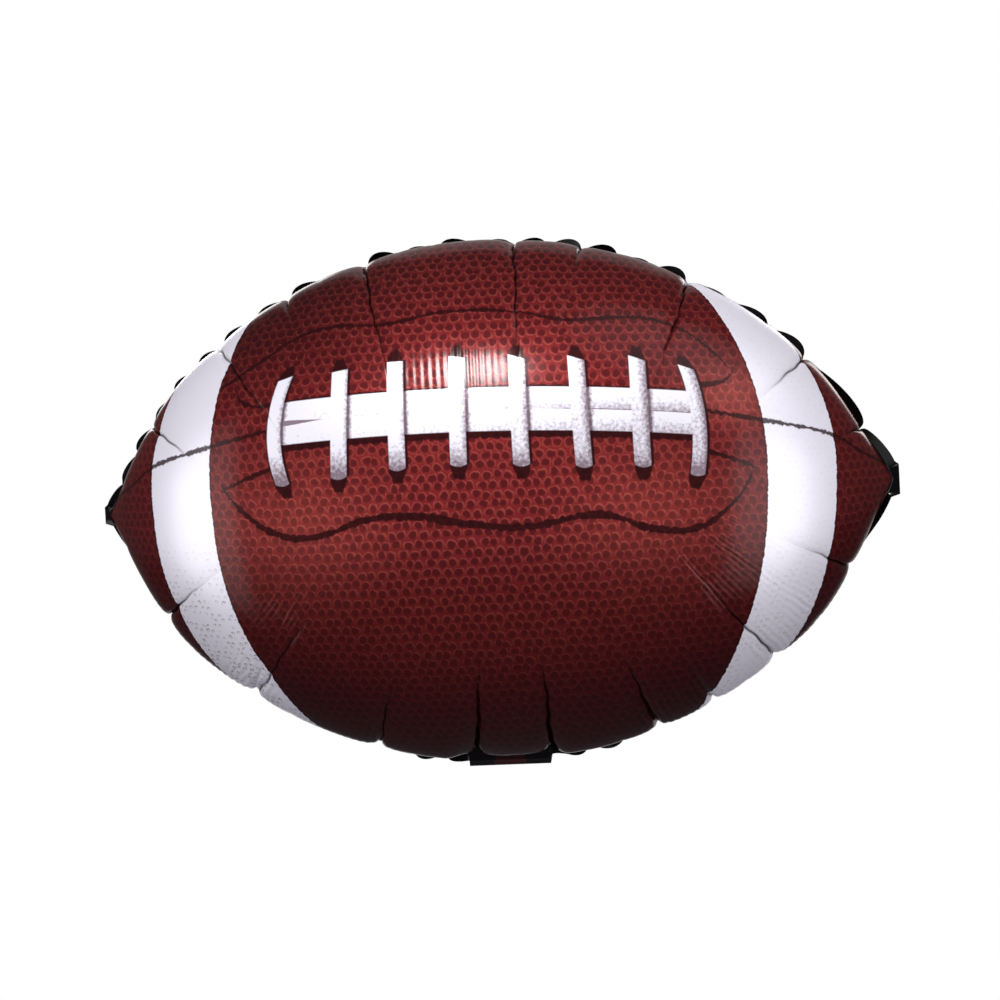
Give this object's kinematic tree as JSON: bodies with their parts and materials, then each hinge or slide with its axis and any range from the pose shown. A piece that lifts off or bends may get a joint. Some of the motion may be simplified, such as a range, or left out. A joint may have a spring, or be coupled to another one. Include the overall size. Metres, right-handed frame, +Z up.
{
  "type": "foil balloon",
  "caption": "Inflated foil balloon shaped and printed as an American football, with a puckered heat-sealed seam and a folding filling tail that holds a self-sealing valve.",
  "frame": {"origin": "middle of the fold line between the neck and the tail, in the plane of the seam, where a ribbon is tied round the neck", "axes": "+X towards the right tip along the length, +Y from the printed front to the back, +Z up from the tail through the envelope"},
  "size_m": [0.46, 0.164, 0.3047],
  "materials": {
    "printed_film": "glossy printed foil laminate",
    "black_film": "glossy black printed foil laminate",
    "valve_film": "clear soft polyethylene film"
  },
  "bodies": {
    "envelope": {"front_panel": "printed_film", "back_panel": "printed_film", "valve_film_front": "valve_film", "valve_film_back": "valve_film"},
    "tail": {"front_tail": "black_film", "back_tail": "black_film", "valve_inlet_front": "valve_film", "valve_inlet_back": "valve_film"}
  },
  "joints": [
    {"name": "tail_fold", "type": "hinge", "parent": "envelope", "child": "tail", "pos_m": [0, 0, 0], "axis": [1, 0, 0], "range_deg": [-216, 0]}
  ]
}
